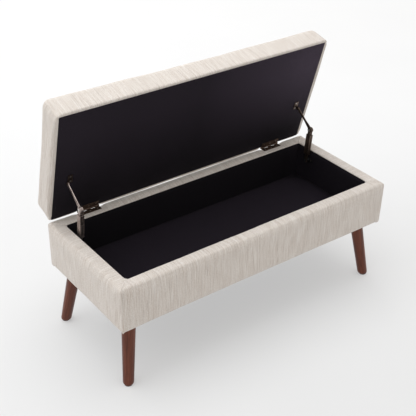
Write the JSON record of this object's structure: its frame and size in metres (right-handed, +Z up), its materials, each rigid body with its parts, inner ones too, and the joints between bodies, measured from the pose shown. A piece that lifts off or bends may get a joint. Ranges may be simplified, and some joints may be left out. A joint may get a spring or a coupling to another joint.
{
  "type": "storage ottoman bench",
  "caption": "Upholstered storage bench on splayed round wooden legs, with a padded lid hinged at the back and held open by folding lid stays.",
  "frame": {"origin": "on the floor, below the middle of the footprint with the lid open as stored", "axes": "+X to the right along the bench, +Y to the back, the hinge side, +Z up"},
  "size_m": [1.1, 0.5276, 0.8392],
  "materials": {
    "upholstery_fabric": "matte",
    "black_cloth": "matte",
    "foam": "matte",
    "board_wood": "matte",
    "leg_wood": "satin",
    "bronze_metal": "satin",
    "bright_steel": "satin",
    "black_plastic": "matte"
  },
  "bodies": {
    "box": {"front_board": "board_wood", "back_board": "board_wood", "left_board": "board_wood", "right_board": "board_wood", "bottom_board": "board_wood", "hinge_rail": "board_wood", "front_foam": "foam", "back_foam": "foam", "left_foam": "foam", "right_foam": "foam", "rim_padding": "foam", "front_cover": "upholstery_fabric", "back_cover": "upholstery_fabric", "left_cover": "upholstery_fabric", "right_cover": "upholstery_fabric", "wall_lining": "black_cloth", "floor_panel": "black_cloth", "underside_cloth": "black_cloth", "underside_staples": "bright_steel", "front_left_leg_block": "board_wood", "front_right_leg_block": "board_wood", "back_left_leg_block": "board_wood", "back_right_leg_block": "board_wood", "front_left_leg": "leg_wood", "front_right_leg": "leg_wood", "back_left_leg": "leg_wood", "back_right_leg": "leg_wood", "foot_glides": "black_plastic", "hanger_bolts": "bright_steel", "threaded_inserts": "bronze_metal", "left_hinge_box_leaf": "bronze_metal", "right_hinge_box_leaf": "bronze_metal", "left_hinge_pin": "bronze_metal", "right_hinge_pin": "bronze_metal", "left_stay_wall_bracket": "bronze_metal", "right_stay_wall_bracket": "bronze_metal", "box_screws": "bright_steel"},
    "lid": {"lid_board": "board_wood", "lid_foam": "foam", "lid_cover": "upholstery_fabric", "lid_dust_cloth": "black_cloth", "lid_staples": "bright_steel", "left_hinge_lid_leaf": "bronze_metal", "right_hinge_lid_leaf": "bronze_metal", "left_stay_lid_bracket": "bronze_metal", "right_stay_lid_bracket": "bronze_metal", "lid_screws": "bright_steel"},
    "left_stay_lower": {"left_stay_case": "bronze_metal", "left_stay_fork": "bronze_metal", "left_stay_spring": "bright_steel", "left_stay_plunger": "black_plastic", "left_stay_elbow_pin": "bright_steel"},
    "left_stay_upper": {"left_stay_arm": "bronze_metal"},
    "right_stay_lower": {"right_stay_case": "bronze_metal", "right_stay_fork": "bronze_metal", "right_stay_spring": "bright_steel", "right_stay_plunger": "black_plastic", "right_stay_elbow_pin": "bright_steel"},
    "right_stay_upper": {"right_stay_arm": "bronze_metal"}
  },
  "joints": [
    {"name": "lid_hinge", "type": "hinge", "parent": "box", "child": "lid", "pos_m": [0, 0.18491, 0.394], "axis": [1, 0, 0], "range_deg": [0, 75]},
    {"name": "left_stay_case_pivot", "type": "hinge", "parent": "box", "child": "left_stay_lower", "pos_m": [-0.487, 0.07641, 0.35], "axis": [1, 0, 0], "range_deg": [0, 86]},
    {"name": "left_stay_arm_pivot", "type": "hinge", "parent": "lid", "child": "left_stay_upper", "pos_m": [-0.487, 0.13804, 0.54191], "axis": [1, 0, 0], "range_deg": [-92, 0]},
    {"name": "right_stay_case_pivot", "type": "hinge", "parent": "box", "child": "right_stay_lower", "pos_m": [0.487, 0.07641, 0.35], "axis": [1, 0, 0], "range_deg": [0, 86]},
    {"name": "right_stay_arm_pivot", "type": "hinge", "parent": "lid", "child": "right_stay_upper", "pos_m": [0.487, 0.13804, 0.54191], "axis": [1, 0, 0], "range_deg": [-92, 0]}
  ],
  "couplings": [
    {"joint": "left_stay_case_pivot", "follows": "lid_hinge", "ratio": 1.143},
    {"joint": "left_stay_arm_pivot", "follows": "lid_hinge", "ratio": -1.224},
    {"joint": "right_stay_case_pivot", "follows": "lid_hinge", "ratio": 1.143},
    {"joint": "right_stay_arm_pivot", "follows": "lid_hinge", "ratio": -1.224}
  ]
}
